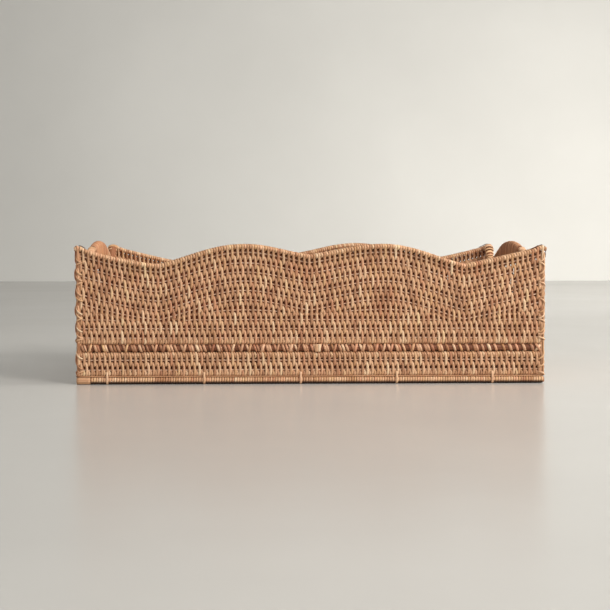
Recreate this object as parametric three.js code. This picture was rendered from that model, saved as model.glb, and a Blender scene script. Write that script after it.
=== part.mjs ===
// A woven rattan serving tray: four scalloped walls of coiled cane on a raised floor,
// a skirt and a wrapped foot rail below it, and a cut-out handle in each end wall.
// Millimetres, +Z up. The origin is the centre of the footprint, on the surface it stands on.
import * as THREE from 'three';

// Outer size and the clearance kept between pieces that touch.
const LENGTH = 508;
const WIDTH = 356;
const GAP = 0.3;

// Top edges, each seen from outside its wall. points are turning points [distance along the
// wall, height] from corner to corner, climb is the power of the curve up to the first and to
// the last corner, and turn is the cosine's angle between a crest and the valley beside it.
const FRONT_EDGE = {
  points: [
    [-LENGTH / 2, 149], [-163, 130], [-73, 151.2], [-2, 140],
    [78, 151.4], [165.5, 130], [LENGTH / 2, 149.5],
  ],
  climb: [1.5, 1.1],
  turn: 2.4,
};
const BACK_EDGE = {
  points: [
    [-LENGTH / 2, 149], [-172, 130.5], [-70, 150.8], [6, 138],
    [73, 149.6], [170, 128], [LENGTH / 2, 148],
  ],
  climb: [1.2, 1.1],
  turn: 2.4,
};
const END_EDGE = {
  points: [[-WIDTH / 2, 136], [-120, 129.5], [0, 153.75], [120, 129.5], [WIDTH / 2, 136]],
  climb: [2, 2],
  turn: 0.8,
};

// Rim, grip and handle opening.
const RIM_WIDTH = 9.5;
const RIM_HEIGHT = 6.2;
const RIM_END_GAP = 1.4; // room for a short rim's slanting end faces
const RIM_CLEARANCE = 0.9; // between a rim and the wall under it, whose edges have different steps
const RIM_LEAN = 0.95; // how far a long rim's slanting end leans past its middle line
const GRIP_THICKNESS = 11;
const GRIP_HALF = 58; // half the grip's length
const GRIP_FOOT = 120; // height at which the grip's ends stop
const OPENING_HALF = 40; // half the straight part of the opening
const OPENING_RADIUS = 18; // its round ends, and half its height
const OPENING_CENTRE = 111;
const BINDING_DIAMETER = 5;
const BINDING_RISE = 0.42; // radians that the binding climbs past the opening's widest line

// Walls, floor, skirt and foot.
const WALL_THICKNESS = 6.5;
const WALL_INSET = 1.5; // how far the woven faces lie inside the rim's outer face
const WALL_BOTTOM = 43.4;
const EDGE_ROD_DIAMETER = 7;
const EDGE_ROD_INSET = 5.75; // from the outer size to the rod's centre
const EDGE_ROD_CENTRE = 39;
const FLOOR_THICKNESS = 5;
const FLOOR_TOP = 41.4;
const BAR_DIAMETER = 8;
const BAR_SPACING = 130;
const SKIRT_TOP = 34.6;
const FOOT_HEIGHT = 8;
const FOOT_WIDTH = 8;
const FOOT_INSET = 0.7; // how far the foot rails lie inside the rim's outer face
const FOOT_END_INSET = 1;
const FOOT_FLAT = 5; // width of the face that the tray stands on
const POST_DIAMETER = 7;
const POST_TOP = 138.8;

// Cane that ties the pieces together.
const LASHING_THICKNESS = 0.8;
const LASHING_INSET = 1.1;
const LASHING_STEP = 7.7; // along the wall, from one turn of the zigzag to the next
const LASHING_RISE = 4.8;
const LASHING_BAND = 2.4;
const SPLICE = { width: 5.4, height: 8, thickness: 0.8, place: 5.5 };
const TIE = { width: 2.4, bottom: 1.5, top: 13.5, thickness: 0.4, spacing: 104, first: -12 };

const EDGE_STEPS = 48;
const ROUND_SIDES = 12;
const SECTION_SEGMENTS = 5;
const DOWN = -Math.PI / 2;

const COLOURS = {
  weave: 0xb98c63,
  wrap: 0xc79a6e,
  rod: 0x8a5a3c,
  lashing: 0xa9764e,
};

const tray = new THREE.Group();

function addPiece(group, name, geometry, colour) {
  const material = new THREE.MeshStandardMaterial({ color: colour, roughness: 0.6, metalness: 0 });
  const mesh = new THREE.Mesh(geometry, material);
  mesh.name = name;
  group.add(mesh);
  return mesh;
}

// Height of a scalloped edge above a point along the wall.
function edgeHeight({ points, climb, turn }, along) {
  const last = points.length - 2;
  let i = 0;
  while (i < last && along > points[i + 1][0]) i += 1;
  const [start, startHeight] = points[i];
  const [end, endHeight] = points[i + 1];
  const startIsHigh = startHeight > endHeight;
  const high = startIsHigh ? startHeight : endHeight;
  const low = startIsHigh ? endHeight : startHeight;
  const fromStart = THREE.MathUtils.clamp((along - start) / (end - start), 0, 1);
  const fromHigh = startIsHigh ? fromStart : 1 - fromStart;
  if (i === 0) return low + (high - low) * (1 - fromHigh) ** climb[0];
  if (i === last) return low + (high - low) * (1 - fromHigh) ** climb[1];
  const drop = (1 - Math.cos(fromHigh * turn)) / (1 - Math.cos(turn));
  return high - (high - low) * drop;
}

// Points along a scalloped edge, lowered by a distance, from one place to another.
function edgePoints(edge, from, to, lowered) {
  const steps = Math.ceil((EDGE_STEPS * Math.abs(to - from)) / LENGTH);
  return Array.from({ length: steps + 1 }, (_, i) => {
    const along = from + ((to - from) * i) / steps;
    return new THREE.Vector2(along, edgeHeight(edge, along) - lowered);
  });
}

// A plate with its outline given along the wall and upwards, and its outer face at -outer.
function uprightPlate(outline, outer, thickness) {
  const options = { depth: thickness, bevelEnabled: false, steps: 1 };
  const geometry = new THREE.ExtrudeGeometry(new THREE.Shape(outline), options);
  geometry.rotateX(-DOWN);
  geometry.translate(0, thickness - outer, 0);
  return geometry;
}

function boxOutline(left, right, bottom, top) {
  return [
    new THREE.Vector2(left, bottom), new THREE.Vector2(right, bottom),
    new THREE.Vector2(right, top), new THREE.Vector2(left, top),
  ];
}

// A round rod along the wall.
function levelRod(diameter, length, outer, height) {
  const geometry = new THREE.CylinderGeometry(diameter / 2, diameter / 2, length, ROUND_SIDES);
  geometry.rotateZ(DOWN);
  geometry.translate(0, -outer, height);
  return geometry;
}

function ellipse(width, height) {
  const section = new THREE.Shape();
  section.absellipse(0, 0, width / 2, height / 2, 0, 2 * Math.PI, false, 0);
  return section;
}

function sweep(section, path, steps) {
  const options = { steps, extrudePath: path, curveSegments: SECTION_SEGMENTS, bevelEnabled: false };
  return new THREE.ExtrudeGeometry(section, options);
}

// The middle line of a rim, under its scalloped top edge.
class RimLine extends THREE.Curve {
  constructor(edge, from, to, outer) {
    super();
    Object.assign(this, { edge, from, to, outer });
  }

  getPoint(t, target = new THREE.Vector3()) {
    const along = THREE.MathUtils.lerp(this.from, this.to, t);
    const height = edgeHeight(this.edge, along) - RIM_HEIGHT / 2;
    return target.set(along, -this.outer + RIM_WIDTH / 2, height);
  }
}

// The lower half of the handle opening, from end to end.
function openingBelow(steps) {
  const arc = (centre, from) => Array.from({ length: steps + 1 }, (_, i) => {
    const angle = from + (Math.PI / 2) * (i / steps);
    return new THREE.Vector2(
      centre + OPENING_RADIUS * Math.cos(angle),
      OPENING_CENTRE + OPENING_RADIUS * Math.sin(angle),
    );
  });
  return [...arc(-OPENING_HALF, Math.PI), ...arc(OPENING_HALF, 1.5 * Math.PI)];
}

// The middle line of the cane-wrapped edge round the handle opening, up to the grip's ends.
class BindingLine extends THREE.Curve {
  constructor(radius, outer) {
    super();
    const halfArc = (Math.PI / 2 + BINDING_RISE) * radius;
    Object.assign(this, { radius, outer, total: 2 * (halfArc + OPENING_HALF) });
  }

  getPoint(t, target = new THREE.Vector3()) {
    const middle = t * this.total - this.total / 2;
    const side = Math.sign(middle) || 1;
    const past = Math.max(Math.abs(middle) - OPENING_HALF, 0);
    const angle = past / this.radius;
    const along = side * (Math.min(Math.abs(middle), OPENING_HALF) + this.radius * Math.sin(angle));
    return target.set(along, -this.outer, OPENING_CENTRE - this.radius * Math.cos(angle));
  }
}

function footRail(halfLength, outer) {
  const radius = FOOT_WIDTH / 2;
  const flat = Math.asin(FOOT_FLAT / FOOT_WIDTH);
  const rise = radius * Math.cos(flat);
  const section = new THREE.Shape();
  section.absarc(0, rise, radius, DOWN + flat, DOWN - flat + 2 * Math.PI, false);
  const stretch = FOOT_HEIGHT / (rise + radius);
  const options = { depth: 2 * halfLength, curveSegments: ROUND_SIDES, bevelEnabled: false };
  const geometry = new THREE.ExtrudeGeometry(section, options);
  geometry.scale(1, stretch, 1);
  geometry.rotateX(-DOWN);
  geometry.rotateZ(-DOWN);
  geometry.translate(-halfLength, -outer + radius, 0);
  return geometry;
}

function lashingOutline(halfLength) {
  const turns = Math.floor(halfLength / LASHING_STEP) * 2;
  const middle = Array.from({ length: turns + 1 }, (_, i) => new THREE.Vector2(
    (i - turns / 2) * LASHING_STEP,
    EDGE_ROD_CENTRE + (i % 2 ? LASHING_RISE : -LASHING_RISE) / 2,
  ));
  const offset = (points, up) => points.map(({ x, y }) => new THREE.Vector2(x, y + up));
  return [
    ...offset(middle, -LASHING_BAND / 2),
    ...offset(middle, LASHING_BAND / 2).reverse(),
  ];
}

// Half the length of what fits between the corner posts of a wall.
function betweenPosts(half) {
  return half - RIM_WIDTH / 2 - POST_DIAMETER / 2 - GAP;
}

function addLowerParts(group, side) {
  const { name, half, outer } = side;
  const inner = betweenPosts(half);
  const footHalf = side.edge ? half - FOOT_END_INSET : half - FOOT_INSET - FOOT_WIDTH - GAP;
  const footOuter = side.edge ? outer - FOOT_INSET : outer - FOOT_END_INSET;
  addPiece(group, `foot_rail_${name}`, footRail(footHalf, footOuter), COLOURS.wrap);
  const skirt = boxOutline(-inner, inner, FOOT_HEIGHT + GAP, SKIRT_TOP);
  const faceAt = outer - WALL_INSET;
  addPiece(group, `skirt_panel_${name}`, uprightPlate(skirt, faceAt, WALL_THICKNESS), COLOURS.weave);
  const rodHalf = half - EDGE_ROD_INSET - EDGE_ROD_DIAMETER / 2 - GAP;
  const rod = levelRod(EDGE_ROD_DIAMETER, 2 * rodHalf, outer - EDGE_ROD_INSET, EDGE_ROD_CENTRE);
  addPiece(group, `floor_edge_rod_${name}`, rod, COLOURS.rod);
  const lashing = uprightPlate(lashingOutline(inner), outer - LASHING_INSET, LASHING_THICKNESS);
  addPiece(group, `floor_lashing_${name}`, lashing, COLOURS.lashing);
  const tieCount = side.edge ? 5 : 3;
  for (let i = 0; i < tieCount; i += 1) {
    const place = TIE.first + TIE.spacing * (i - (tieCount - 1) / 2);
    const outline = boxOutline(place - TIE.width / 2, place + TIE.width / 2, TIE.bottom, TIE.top);
    addPiece(group, `foot_tie_${name}_${i + 1}`, uprightPlate(outline, outer, TIE.thickness), COLOURS.wrap);
  }
}

function addLongWall(group, side) {
  const { name, half, outer, edge } = side;
  const inner = betweenPosts(half);
  const outline = [
    new THREE.Vector2(inner, WALL_BOTTOM), new THREE.Vector2(-inner, WALL_BOTTOM),
    ...edgePoints(edge, -inner, inner, RIM_HEIGHT + RIM_CLEARANCE),
  ].reverse();
  const plate = uprightPlate(outline, outer - WALL_INSET, WALL_THICKNESS);
  addPiece(group, `wall_panel_${name}`, plate, COLOURS.weave);
  const line = new RimLine(edge, RIM_LEAN - half, half - RIM_LEAN, outer);
  addPiece(group, `rim_${name}`, sweep(ellipse(RIM_WIDTH, RIM_HEIGHT), line, EDGE_STEPS), COLOURS.wrap);
}

// Where the round end of the handle opening meets the foot of the grip.
function openingEdgeAt(height) {
  return OPENING_HALF + Math.sqrt(OPENING_RADIUS ** 2 - (height - OPENING_CENTRE) ** 2);
}

function addEndWall(group, side) {
  const { name, half, outer } = side;
  const inner = betweenPosts(half);
  const notch = GRIP_HALF + GAP;
  const shoulder = GRIP_FOOT - GAP;
  const lowered = RIM_HEIGHT + RIM_CLEARANCE;
  const wallOutline = [
    new THREE.Vector2(-inner, WALL_BOTTOM), new THREE.Vector2(inner, WALL_BOTTOM),
    ...edgePoints(END_EDGE, inner, notch, lowered),
    new THREE.Vector2(notch, shoulder), new THREE.Vector2(openingEdgeAt(shoulder), shoulder),
    ...openingBelow(ROUND_SIDES / 2).reverse(),
    new THREE.Vector2(-openingEdgeAt(shoulder), shoulder), new THREE.Vector2(-notch, shoulder),
    ...edgePoints(END_EDGE, -notch, -inner, lowered),
  ];
  const plate = uprightPlate(wallOutline, outer - WALL_INSET, WALL_THICKNESS);
  addPiece(group, `wall_panel_${name}`, plate, COLOURS.weave);

  // The wrapped grip: the scallop's crest above, the opening's upper half below.
  const foot = Math.asin((GRIP_FOOT - OPENING_CENTRE) / OPENING_RADIUS);
  const grip = new THREE.Shape();
  grip.setFromPoints(edgePoints(END_EDGE, GRIP_HALF, -GRIP_HALF, 0));
  grip.lineTo(-GRIP_HALF, GRIP_FOOT);
  grip.lineTo(-openingEdgeAt(GRIP_FOOT), GRIP_FOOT);
  grip.absarc(-OPENING_HALF, OPENING_CENTRE, OPENING_RADIUS, Math.PI - foot, Math.PI / 2, true);
  grip.absarc(OPENING_HALF, OPENING_CENTRE, OPENING_RADIUS, Math.PI / 2, foot, true);
  grip.lineTo(GRIP_HALF, GRIP_FOOT);
  const gripPlate = uprightPlate(grip.getPoints(ROUND_SIDES / 2), outer, GRIP_THICKNESS);
  addPiece(group, `handle_grip_${name}`, gripPlate, COLOURS.wrap);

  const middle = outer - WALL_INSET - WALL_THICKNESS / 2;
  const binding = new BindingLine(OPENING_RADIUS - GAP - BINDING_DIAMETER / 2, middle);
  const section = ellipse(BINDING_DIAMETER, BINDING_DIAMETER);
  addPiece(group, `handle_binding_${name}`, sweep(section, binding, EDGE_STEPS / 2), COLOURS.wrap);

  const ends = [[side.ends[0], -1], [side.ends[1], 1]];
  for (const [end, way] of ends) {
    const [near, far] = [half - RIM_WIDTH - RIM_END_GAP, GRIP_HALF + RIM_END_GAP];
    const line = new RimLine(END_EDGE, way * near, way * far, outer);
    const rim = sweep(ellipse(RIM_WIDTH, RIM_HEIGHT), line, EDGE_STEPS / 4);
    addPiece(group, `rim_${name}_${end}`, rim, COLOURS.wrap);
  }
}

const SIDES = [
  { name: 'front', turn: 0, half: LENGTH / 2, outer: WIDTH / 2, edge: FRONT_EDGE },
  { name: 'right', turn: 1, half: WIDTH / 2, outer: LENGTH / 2, ends: ['front', 'back'] },
  { name: 'back', turn: 2, half: LENGTH / 2, outer: WIDTH / 2, edge: BACK_EDGE },
  { name: 'left', turn: 3, half: WIDTH / 2, outer: LENGTH / 2, ends: ['back', 'front'] },
];

for (const side of SIDES) {
  const group = new THREE.Group();
  group.rotation.z = (side.turn * Math.PI) / 2;
  addLowerParts(group, side);
  if (side.edge) addLongWall(group, side);
  else addEndWall(group, side);
  tray.add(group);
}

function addCornerPosts() {
  const bottom = FOOT_HEIGHT + GAP;
  for (const [end, x] of [['left', -1], ['right', 1]]) {
    for (const [face, y] of [['front', -1], ['back', 1]]) {
      const radius = POST_DIAMETER / 2;
      const post = new THREE.CylinderGeometry(radius, radius, POST_TOP - bottom, ROUND_SIDES);
      post.rotateX(-DOWN);
      const mesh = addPiece(tray, `corner_post_${face}_${end}`, post, COLOURS.rod);
      mesh.position.set(
        x * (LENGTH / 2 - RIM_WIDTH / 2),
        y * (WIDTH / 2 - RIM_WIDTH / 2),
        (POST_TOP + bottom) / 2,
      );
    }
  }
}

function addFloor() {
  const clear = EDGE_ROD_INSET + EDGE_ROD_DIAMETER / 2 + GAP;
  const mat = new THREE.BoxGeometry(LENGTH - 2 * clear, WIDTH - 2 * clear, FLOOR_THICKNESS);
  const floor = addPiece(tray, 'floor_mat', mat, COLOURS.weave);
  floor.position.z = FLOOR_TOP - FLOOR_THICKNESS / 2;
  const reach = WIDTH - 2 * (WALL_INSET + WALL_THICKNESS + GAP);
  for (const [place, name] of [[-1, 'left'], [0, 'middle'], [1, 'right']]) {
    const bar = new THREE.CylinderGeometry(BAR_DIAMETER / 2, BAR_DIAMETER / 2, reach, ROUND_SIDES);
    const mesh = addPiece(tray, `floor_cross_bar_${name}`, bar, COLOURS.rod);
    mesh.position.set(place * BAR_SPACING, 0, FLOOR_TOP - FLOOR_THICKNESS - GAP - BAR_DIAMETER / 2);
  }
}

function addSplice() {
  const outline = boxOutline(
    SPLICE.place - SPLICE.width / 2, SPLICE.place + SPLICE.width / 2,
    EDGE_ROD_CENTRE - SPLICE.height / 2, EDGE_ROD_CENTRE + SPLICE.height / 2,
  );
  const block = uprightPlate(outline, WIDTH / 2, SPLICE.thickness);
  addPiece(tray, 'lashing_splice', block, COLOURS.wrap);
}

addCornerPosts();
addFloor();
addSplice();

export default tray;
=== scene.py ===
"""Looks of the woven rattan serving tray: every rod and strand of cane is a shape of its own."""
import itertools
import math
from collections import namedtuple

import bpy
import numpy as np
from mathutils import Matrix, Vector


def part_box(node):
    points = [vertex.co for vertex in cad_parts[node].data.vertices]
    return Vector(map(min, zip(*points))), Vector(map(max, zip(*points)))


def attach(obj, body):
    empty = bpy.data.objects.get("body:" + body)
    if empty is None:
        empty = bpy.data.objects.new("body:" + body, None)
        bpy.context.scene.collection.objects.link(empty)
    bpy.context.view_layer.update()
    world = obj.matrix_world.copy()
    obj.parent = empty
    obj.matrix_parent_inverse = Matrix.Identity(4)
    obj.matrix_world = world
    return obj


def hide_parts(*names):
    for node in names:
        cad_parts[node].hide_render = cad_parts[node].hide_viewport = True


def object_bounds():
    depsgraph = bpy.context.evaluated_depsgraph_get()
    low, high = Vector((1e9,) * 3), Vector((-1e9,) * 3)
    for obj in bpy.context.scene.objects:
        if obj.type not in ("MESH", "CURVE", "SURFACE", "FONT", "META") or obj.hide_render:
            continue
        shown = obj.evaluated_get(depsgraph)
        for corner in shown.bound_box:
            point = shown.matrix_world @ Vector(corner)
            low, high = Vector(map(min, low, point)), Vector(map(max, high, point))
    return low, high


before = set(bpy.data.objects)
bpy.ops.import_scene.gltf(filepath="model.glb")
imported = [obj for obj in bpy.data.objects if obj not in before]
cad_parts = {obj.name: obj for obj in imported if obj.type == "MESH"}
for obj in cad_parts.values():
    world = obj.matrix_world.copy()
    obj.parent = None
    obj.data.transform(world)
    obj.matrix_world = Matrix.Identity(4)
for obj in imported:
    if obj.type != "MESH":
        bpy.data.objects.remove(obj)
CAD_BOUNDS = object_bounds()

MM = 0.001
ACROSS, UP = np.array([0.0, 1.0, 0.0]), np.array([0.0, 0.0, 1.0])  # directions seen from outside a wall
rng = np.random.default_rng(1411)

# The tray's outer size, in millimetres, read from the frame.
(LEFT, FRONT, _), (RIGHT, BACK, _) = [[c / MM for c in corner] for corner in CAD_BOUNDS]
LENGTH = round(RIGHT - LEFT)
WIDTH = round(BACK - FRONT)

# Top edges, as the CAD model has them, each seen from outside its wall: turning points (distance
# along the wall, height) from corner to corner, powers of the climbs to the two corners, and the
# cosine's angle between a crest and the valley beside it.
Edge = namedtuple("Edge", "points climb turn")
FRONT_EDGE = Edge([
    (-LENGTH / 2, 149), (-163, 130), (-73, 151.2), (-2, 140),
    (78, 151.4), (165.5, 130), (LENGTH / 2, 149.5),
], (1.5, 1.1), 2.4)
BACK_EDGE = Edge([
    (-LENGTH / 2, 149), (-172, 130.5), (-70, 150.8), (6, 138),
    (73, 149.6), (170, 128), (LENGTH / 2, 148),
], (1.2, 1.1), 2.4)
END_EDGE = Edge([
    (-WIDTH / 2, 136), (-120, 129.5), (0, 153.75), (120, 129.5), (WIDTH / 2, 136),
], (2, 2), 0.8)

# Sizes shared with the CAD model.
RIM_WIDTH = 9.5
RIM_HEIGHT = 6.2
GRIP_THICKNESS = 11
GRIP_HALF = 58
GRIP_FOOT = 120
OPENING_HALF = 40
OPENING_RADIUS = 18
OPENING_CENTRE = 111
BINDING_DIAMETER = 5
BINDING_RISE = 0.42
WALL_CENTRE = 4.75  # from the tray's outer side to the middle of a woven wall
EDGE_ROD_DIAMETER = 7
EDGE_ROD_INSET = 5.75
EDGE_ROD_CENTRE = 39
FOOT_DIAMETER = 8
FOOT_INSET = 0.7

# The weave: rows of cane loops round pairs of rods, each row set half a stitch from the next.
STITCH = 5.495  # from one loop of a row to the next
WRAP = STITCH / 2  # from one turn to the next where a pole is wound closely
ROW = 9.7  # height of a straight row
SKIRT_ROWS = (11.2, 21.5, 32.0)  # rods that the skirt's two rows of loops join
LOWEST_ROD = 8.45  # thin rod that lies in the groove between the foot pole and the skirt
WALL_FOOT = 45.7  # lowest rod of a wall
STRAIGHT_TOP = 55.85  # the rod above it
STRAIGHT_ROWS = 4
CURVED_ROWS = 6
CURVED_DROP = 14.66  # from the scalloped edge down to the first rod that follows it
CURVED_ROW = 9.93
JUNCTION_RADIUS = 1.7
MID_RADIUS = 0.75
MID_SHARE = 0.42  # how far up a row its thin middle rod lies
MID_FORWARD = 0.95  # how far it lies towards the wall's outer face
MID_LEAST_ROW = 0.65  # share of a full row's height below which a row has no middle rod
TOP_RODS = (4.0, 7.0)  # the two dark rods in the row under the rim, whose dark colour is painted shade for that row's holes: heights above the row's lowest rod
TOP_ROD_RADIUS = 1.15
TOP_ROD_BACK = 0.4  # how far they lie behind the wall's middle
GROOVE_ROD_RADIUS = 0.7
GROOVE_ROD_FORWARD = 1.85
ROD_END = 3.2  # from the outer corner to the end of a wall's rods
ROD_STEPS = 4.4, 5.0  # spacing of the points that a wall's and a skirt's rods are drawn through
STRAND_WIDTH = 2.6
STRAND_THICKNESS = 1.15
CLOSE_TURN = 2.5  # width of the cane where a pole is wound closely
REACH = JUNCTION_RADIUS + STRAND_THICKNESS / 2  # from a rod's centre to the middle of a loop's strand
HOOK = STITCH / 2  # how far a loop's back lies to the left of its front
EDGE_TURN = 2.3  # height of the short loops between the long ones on an edge rod
KNOT_RISE = 1.8  # how far a long rim swells where its end is knotted over the corner
KNOT_REACH = 18.0  # from the corner to where the knot's swelling ends
KNOB_RISE = 11.5  # how far an end wall's rim rises at the rear corner
KNOB_SWELL = 0.42  # and how much thicker it gets
SHORTEST_ROW = 2.6  # where rows run together, a lower gap than this takes no loops
ROW_OVERLAP = 2.2  # how much taller than the others the last straight row may be
LONG_WALL_END = 3.2  # from the outer corner to the last loop of a long wall
END_WALL_END = 9.0

WIDE_GROUP, NARROW_GROUP = 14.0, 8.4  # room along the lashing for one group of its strands
TIE_SPACING = 104
TIE_OFFSET = -12  # of the middle tie from the middle of its side
LAID_STRIPS = 13  # length of the front foot's left end under strips laid along it
CANE_RUN = 17  # length of foot that one long cane covers
CONTACT_SHADE_TOP, CONTACT_SHADE_FADE = 3.7, 1.5  # height up to which the foot is darkened as painted contact shade, and how softly that ends
FLOOR_LEVEL = 38.9
FLOOR_ROWS = 31
FLOOR_STITCH = 5.8
CORNER_TOP = 141.0
SQUARENESS = 0.72  # power that makes a round section into the grip's fuller one

SIDES = {"front": 0, "right": 1, "back": 2, "left": 3}


# -------------------- outline of the tray

def edge_height(edge, along):
    """Height of a scalloped edge at each place along a wall."""
    height = np.zeros_like(along)
    last = len(edge.points) - 2
    for i, ((start, start_height), (end, end_height)) in enumerate(zip(edge.points, edge.points[1:])):
        inside = (along >= start) if i == last else (along >= start) & (along <= end)
        inside = inside | (along < start) if i == 0 else inside
        from_start = np.clip((along - start) / (end - start), 0, 1)
        from_high = from_start if start_height > end_height else 1 - from_start
        high, low = max(start_height, end_height), min(start_height, end_height)
        if i in (0, last):
            piece = low + (high - low) * (1 - from_high) ** edge.climb[i == last]
        else:
            drop = (1 - np.cos(from_high * edge.turn)) / (1 - math.cos(edge.turn))
            piece = high - (high - low) * drop
        height = np.where(inside, piece, height)
    return height


def wave(places, step, size):
    """Smooth seeded wandering along a line: about one turn in each step, up to about size."""
    knots = np.arange(places.min() - step, places.max() + 2 * step, step)
    return np.interp(places, knots, rng.normal(0, size, len(knots)))


# -------------------- strands, rods and meshes

def unit(vectors):
    return vectors / np.maximum(np.linalg.norm(vectors, axis=-1, keepdims=True), 1e-9)


def xyz(x, y, z):
    """Points or directions from their coordinates; any of these may be one number for all."""
    return np.stack(np.broadcast_arrays(x, y, z), -1)


def bowed(values, power):
    """Cosines or sines pushed outwards, so that a round section becomes a squarer one."""
    return np.sign(values) * np.abs(values) ** power


def section(sides):
    """A flat strand's section: rounder on its outer face than on its inner one."""
    angles = 2 * np.pi * (np.arange(sides) + 0.5) / sides
    across, out = bowed(np.cos(angles), 0.8), np.sin(angles)
    return across / np.abs(across).max(), np.where(out > 0, out, 0.7 * out)


def round_section(sides):
    angles = 2 * np.pi * np.arange(sides) / sides
    return np.cos(angles), np.sin(angles)


class Bundle:
    """Strands and rods that make up one piece, gathered into one mesh."""

    def __init__(self):
        self.parts = []

    def add(self, path, outward, width, thickness, closed, slot=0, tone=None, outline=None):
        """Sweeps a section along each of many paths, given as (strand, step, xyz) in millimetres."""
        count, steps, _ = path.shape
        across_shape, out_shape = section(6) if outline is None else outline
        # the side of a flat strand turned to the wall's core, which the cane material darkens as painted
        # shade
        shaded_core_side = np.maximum(-out_shape, 0) / 0.7 if outline is None else 0 * out_shape
        if closed:
            along = unit(np.roll(path, -1, 1) - np.roll(path, 1, 1))
        else:
            along = unit(np.gradient(path, axis=1))
        across = unit(np.cross(along, outward))
        out = np.cross(across, along)
        width = np.broadcast_to(width, (count, steps)) / 2
        thickness = np.broadcast_to(thickness, (count, steps)) / 2
        points = (
            path[:, :, None]
            + across[:, :, None] * (width[:, :, None] * across_shape)[..., None]
            + out[:, :, None] * (thickness[:, :, None] * out_shape)[..., None]
        )
        sides = len(across_shape)
        number = np.arange(count * steps * sides).reshape(count, steps, sides)
        turned = np.roll(number, -1, 2)
        if closed:
            rows, next_rows = (number, turned), (np.roll(number, -1, 1), np.roll(turned, -1, 1))
        else:
            rows, next_rows = (number[:, :-1], turned[:, :-1]), (number[:, 1:], turned[:, 1:])
        quads = np.stack([rows[0], rows[1], next_rows[1], next_rows[0]], -1).reshape(-1, 4)
        caps = [] if closed else [number[:, 0, ::-1], number[:, -1]]
        length = np.cumsum(np.linalg.norm(np.diff(path, axis=1, prepend=path[:, :1]), axis=-1), 1)
        start = rng.uniform(0, 1000, (count, 1))
        tone = rng.uniform(0, 1, count) if tone is None else tone
        fibre = np.empty((count, steps, sides, 3))
        fibre[..., 0] = width[:, :, None] * across_shape
        fibre[..., 1] = (length + start)[:, :, None]
        fibre[..., 2] = start[:, :, None]
        self.parts.append({
            "points": points.reshape(-1, 3),
            "quads": quads,
            "caps": [cap.reshape(-1, sides) for cap in caps],
            "tone": np.repeat(tone, steps * sides),
            "hue": np.repeat(rng.uniform(0, 1, count), steps * sides),
            "inner": np.tile(shaded_core_side, count * steps),
            "soil": np.zeros(count * steps * sides),
            "fibre": fibre.reshape(-1, 3),
            "slot": slot,
        })

    def add_rod(self, path, radius, slot=1, sides=8):
        """A round rod with closed ends along one path."""
        path = path[None]
        upward = np.broadcast_to(np.array([0.0, 0.05, 1.0]), path.shape)
        size = 2 * np.asarray(radius)
        self.add(path, upward, size, size, False, slot, None, round_section(sides))

    def build(self, name, materials, turn=0):
        """Makes the mesh object, turned by quarter turns round the tray's middle."""
        start = 0
        faces, sizes, slots = [], [], []
        for part in self.parts:
            for group in [part["quads"], *part["caps"]]:
                faces.append((group + start).ravel())
                sizes.append(np.full(len(group), group.shape[1]))
                slots.append(np.full(len(group), part["slot"]))
            start += len(part["points"])
        points = np.concatenate([part["points"] for part in self.parts]) * MM
        quarter = [(1, 0), (0, 1), (-1, 0), (0, -1)][turn]
        x, y = points[:, 0].copy(), points[:, 1].copy()
        points[:, 0] = quarter[0] * x - quarter[1] * y
        points[:, 1] = quarter[1] * x + quarter[0] * y
        corners, sizes = np.concatenate(faces), np.concatenate(sizes)
        mesh = bpy.data.meshes.new(name)
        mesh.vertices.add(len(points))
        mesh.vertices.foreach_set("co", points.ravel())
        mesh.loops.add(len(corners))
        mesh.loops.foreach_set("vertex_index", corners.astype(np.int32))
        mesh.polygons.add(len(sizes))
        mesh.polygons.foreach_set("loop_start", (np.cumsum(sizes) - sizes).astype(np.int32))
        mesh.polygons.foreach_set("use_smooth", np.ones(len(sizes), bool))
        mesh.polygons.foreach_set("material_index", np.concatenate(slots).astype(np.int32))
        for key in ("tone", "hue", "inner", "soil", "fibre"):
            values = np.concatenate([part[key] for part in self.parts])
            kind, field = ("FLOAT_VECTOR", "vector") if key == "fibre" else ("FLOAT", "value")
            layer = mesh.attributes.new(key, kind, "POINT")
            layer.data.foreach_set(field, values.astype(np.float32).ravel())
        for material in materials:
            mesh.materials.append(material)
        mesh.update(calc_edges=True)
        mesh.validate()
        piece = bpy.data.objects.new(name, mesh)
        bpy.context.scene.collection.objects.link(piece)
        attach(piece, "root")
        return piece


# -------------------- materials

def srgb(red, green, blue):
    """A colour given as 0-255 screen values, as the linear colour that shaders take."""
    channels = (c / 255 for c in (red, green, blue))
    return (*(c / 12.92 if c <= 0.04045 else ((c + 0.055) / 1.055) ** 2.4 for c in channels), 1)


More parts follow.
